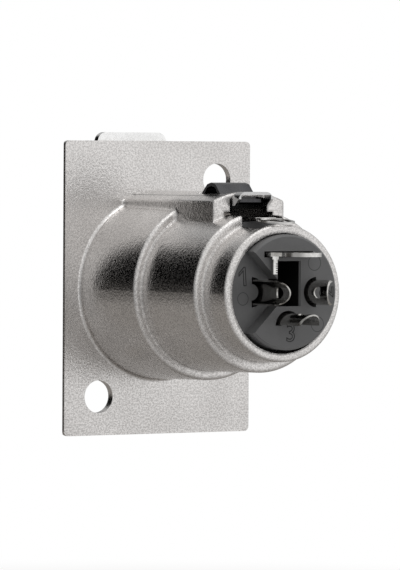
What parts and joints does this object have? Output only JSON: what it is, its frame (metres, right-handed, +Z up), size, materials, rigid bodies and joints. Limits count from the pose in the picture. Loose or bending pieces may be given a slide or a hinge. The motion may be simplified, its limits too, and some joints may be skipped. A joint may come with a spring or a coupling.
{
  "type": "xlr panel socket",
  "caption": "Panel-mount audio socket with a square flange, stepped metal barrel, push latch and solder contacts at the rear.",
  "frame": {"origin": "on the barrel's axis, in the plane of the flange's rear face, which lies on the panel", "axes": "+Y along the barrel to the solder contacts, -Y out of the mating mouth, +Z up to the latch"},
  "size_m": [0.026, 0.0403, 0.036],
  "materials": {
    "plated_casting": "satin nickel plate on a zinc casting",
    "dark_plastic": "matt moulded, dark grey",
    "plated_contact": "bright silver-coloured plate",
    "plated_sheet": "plated sheet",
    "blued_spring": "blued spring steel"
  },
  "bodies": {
    "socket": {"housing": "plated_casting", "insert": "dark_plastic", "contact_1": "plated_contact", "contact_2": "plated_contact", "contact_3": "plated_contact", "earth_tag": "plated_contact", "shell_lug": "plated_contact", "latch_spring": "blued_spring"},
    "latch": {"latch_lever": "plated_sheet"}
  },
  "joints": [
    {"name": "latch_tilt", "type": "hinge", "parent": "socket", "child": "latch", "pos_m": [0, 0.0199, 0.0109], "axis": [-1, 0, 0], "range_deg": [0, 2.2], "stiffness_Nm_per_rad": 0.01, "springref_deg": -5.73, "deforming": ["latch_spring"]}
  ]
}
